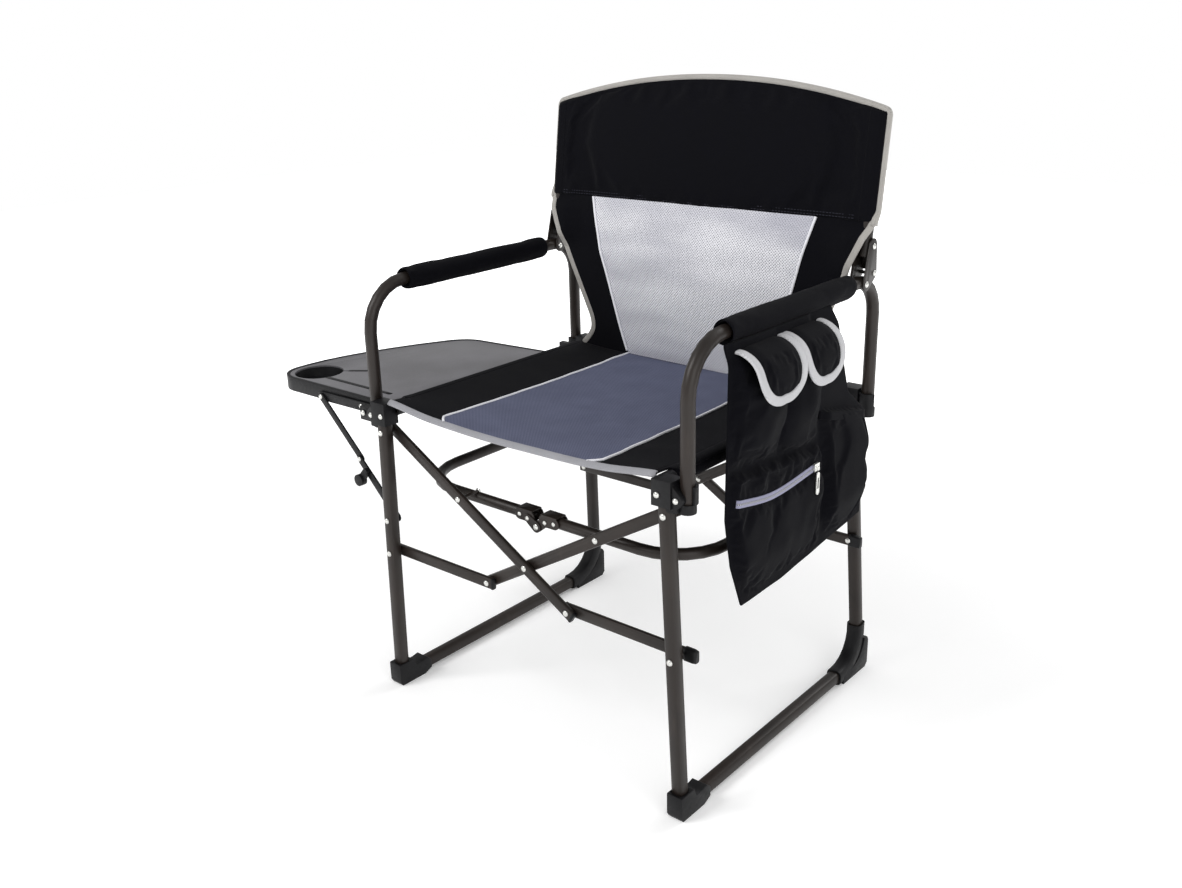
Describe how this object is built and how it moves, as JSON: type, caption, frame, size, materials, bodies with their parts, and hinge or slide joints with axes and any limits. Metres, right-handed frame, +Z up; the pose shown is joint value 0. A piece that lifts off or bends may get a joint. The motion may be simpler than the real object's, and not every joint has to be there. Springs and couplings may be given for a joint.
{
  "type": "folding director chair",
  "caption": "Folding director's chair with X-braced tube frame, sling seat, mesh back on hinged posts, padded arms, fold-down side table and arm organiser.",
  "frame": {"origin": "floor level, at the middle of the whole chair's footprint, side table included", "axes": "+Z up; the sitter faces -Y; +X is the viewer's right when looking at the front, so the side table is at -X"},
  "size_m": [0.8694, 0.4972, 0.886],
  "materials": {
    "bronze_paint": "satin dark bronze powder coat",
    "black_plastic": "moulded black",
    "bright_steel": "bright rivet heads",
    "black_fabric": "woven polyester",
    "seat_fabric": "coated slate grey weave",
    "mesh_fabric": "open light grey mesh",
    "table_grey": "textured mid grey"
  },
  "bodies": {
    "left_side": {"left_front_leg": "bronze_paint", "left_side_tube": "bronze_paint", "left_front_foot": "black_plastic", "left_rear_foot": "black_plastic", "left_front_connector": "black_plastic", "left_rear_connector": "black_plastic", "left_seat_rail": "bronze_paint", "left_arm_tube": "bronze_paint", "left_arm_pad": "black_fabric", "left_back_rivet": "bright_steel", "seat_sling": "seat_fabric", "lower_back_panel": "mesh_fabric", "table_hinge_rod": "bright_steel"},
    "right_side": {"right_front_leg": "bronze_paint", "right_side_tube": "bronze_paint", "right_front_foot": "black_plastic", "right_rear_foot": "black_plastic", "right_front_connector": "black_plastic", "right_rear_connector": "black_plastic", "right_seat_rail": "bronze_paint", "right_arm_tube": "bronze_paint", "right_arm_pad": "black_fabric", "right_back_rivet": "bright_steel", "organiser_body": "black_fabric"},
    "brace_a": {"front_brace_left": "bronze_paint", "rear_brace_left": "bronze_paint", "front_cross_rivet": "bright_steel", "rear_cross_rivet": "bright_steel"},
    "brace_b": {"front_brace_right": "bronze_paint", "rear_brace_right": "bronze_paint"},
    "links_left": {"front_link_left": "bronze_paint", "rear_link_left": "bronze_paint"},
    "links_right": {"front_link_right": "bronze_paint", "rear_link_right": "bronze_paint"},
    "spreader_left": {"spreader_left": "bronze_paint", "front_spreader_bracket_left": "bronze_paint", "rear_spreader_bracket_left": "bronze_paint", "front_spreader_pin": "bright_steel", "rear_spreader_pin": "bright_steel"},
    "spreader_right": {"spreader_right": "bronze_paint", "front_spreader_bracket_right": "bronze_paint", "rear_spreader_bracket_right": "bronze_paint"},
    "back_left": {"left_back_bracket": "bronze_paint", "left_back_post": "bronze_paint", "back_panel": "black_fabric"},
    "back_right": {"right_back_bracket": "bronze_paint", "right_back_post": "bronze_paint"},
    "table": {"table_tray": "black_plastic", "table_panel": "table_grey", "table_front_bar": "black_plastic"},
    "strut_lower": {"table_strut_lower": "black_plastic", "table_strut_knob": "black_plastic"},
    "strut_upper": {"table_strut_upper": "black_plastic"},
    "flap_front": {"organiser_flap_front": "black_fabric"},
    "flap_rear": {"organiser_flap_rear": "black_fabric"},
    "zip_slider": {"zip_slider": "bright_steel"},
    "zip_pull": {"zip_pull": "bright_steel"}
  },
  "joints": [
    {"name": "fold", "type": "hinge", "parent": "left_side", "child": "brace_a", "pos_m": [-0.14971, -0.0156, 0.416], "axis": [0, 1, 0], "range_deg": [0, 51.4], "deforming": ["seat_sling", "back_panel", "lower_back_panel"]},
    {"name": "brace_cross", "type": "hinge", "parent": "brace_a", "child": "brace_b", "pos_m": [0.10029, -0.0156, 0.268], "axis": [0, 1, 0], "range_deg": [-103.3, 0]},
    {"name": "right_frame_pivot", "type": "hinge", "parent": "brace_b", "child": "right_side", "pos_m": [0.35029, -0.0156, 0.416], "axis": [0, 1, 0], "range_deg": [0, 51.9]},
    {"name": "left_links", "type": "hinge", "parent": "left_side", "child": "links_left", "pos_m": [-0.15739, -0.0156, 0.224], "axis": [0, 1, 0], "range_deg": [0, 79.28]},
    {"name": "right_links", "type": "hinge", "parent": "right_side", "child": "links_right", "pos_m": [0.35797, -0.0156, 0.224], "axis": [0, -1, 0], "range_deg": [0, 79.28]},
    {"name": "spreader_right_pivot", "type": "hinge", "parent": "brace_b", "child": "spreader_right", "pos_m": [0.22079, -0.0156, 0.33934], "axis": [0, 1, 0], "range_deg": [0, 142.06]},
    {"name": "spreader_hinge", "type": "hinge", "parent": "spreader_right", "child": "spreader_left", "pos_m": [0.10029, -0.0156, 0.3195], "axis": [0, 1, 0], "range_deg": [-180.82, 0]},
    {"name": "back_fold", "type": "hinge", "parent": "left_side", "child": "back_left", "pos_m": [-0.17271, 0.1654, 0.62], "axis": [1, 0, 0], "range_deg": [0, 55]},
    {"name": "back_fold_right", "type": "hinge", "parent": "right_side", "child": "back_right", "pos_m": [0.37329, 0.1654, 0.62], "axis": [1, 0, 0], "range_deg": [0, 56]},
    {"name": "table_fold", "type": "hinge", "parent": "left_side", "child": "table", "pos_m": [-0.19471, -0.0156, 0.436], "axis": [0, -1, 0], "range_deg": [0, 90]},
    {"name": "table_strut_lower_pivot", "type": "hinge", "parent": "left_side", "child": "strut_lower", "pos_m": [-0.15471, -0.2241, 0.278], "axis": [0, -1, 0], "range_deg": [0, 86.11]},
    {"name": "table_strut_upper_pivot", "type": "hinge", "parent": "table", "child": "strut_upper", "pos_m": [-0.31271, -0.2211, 0.435], "axis": [0, -1, 0], "range_deg": [-156.69, 0]},
    {"name": "flap_front_lift", "type": "hinge", "parent": "right_side", "child": "flap_front", "pos_m": [0.39879, -0.1096, 0.603], "axis": [0, -1, 0], "range_deg": [0, 80]},
    {"name": "flap_rear_lift", "type": "hinge", "parent": "right_side", "child": "flap_rear", "pos_m": [0.39879, -0.0226, 0.603], "axis": [0, -1, 0], "range_deg": [0, 80]},
    {"name": "zip_slide", "type": "slide", "parent": "right_side", "child": "zip_slider", "axis": [0, -1, 0], "range_m": [0, 0.16]},
    {"name": "zip_pull_swing", "type": "hinge", "parent": "zip_slider", "child": "zip_pull", "pos_m": [0.41009, 0.0084, 0.405], "axis": [0, -1, 0], "range_deg": [0, 120]}
  ],
  "couplings": [
    {"joint": "brace_cross", "follows": "fold", "ratio": -2},
    {"joint": "right_frame_pivot", "follows": "fold", "ratio": 1},
    {"joint": "left_links", "follows": "fold", "ratio": 1.533},
    {"joint": "right_links", "follows": "fold", "ratio": 1.533},
    {"joint": "spreader_right_pivot", "follows": "fold", "ratio": 2.754},
    {"joint": "spreader_hinge", "follows": "fold", "ratio": -3.5081},
    {"joint": "back_fold_right", "follows": "back_fold", "ratio": 1},
    {"joint": "table_strut_lower_pivot", "follows": "table_fold", "ratio": 0.9512},
    {"joint": "table_strut_upper_pivot", "follows": "table_fold", "ratio": -1.7355}
  ]
}
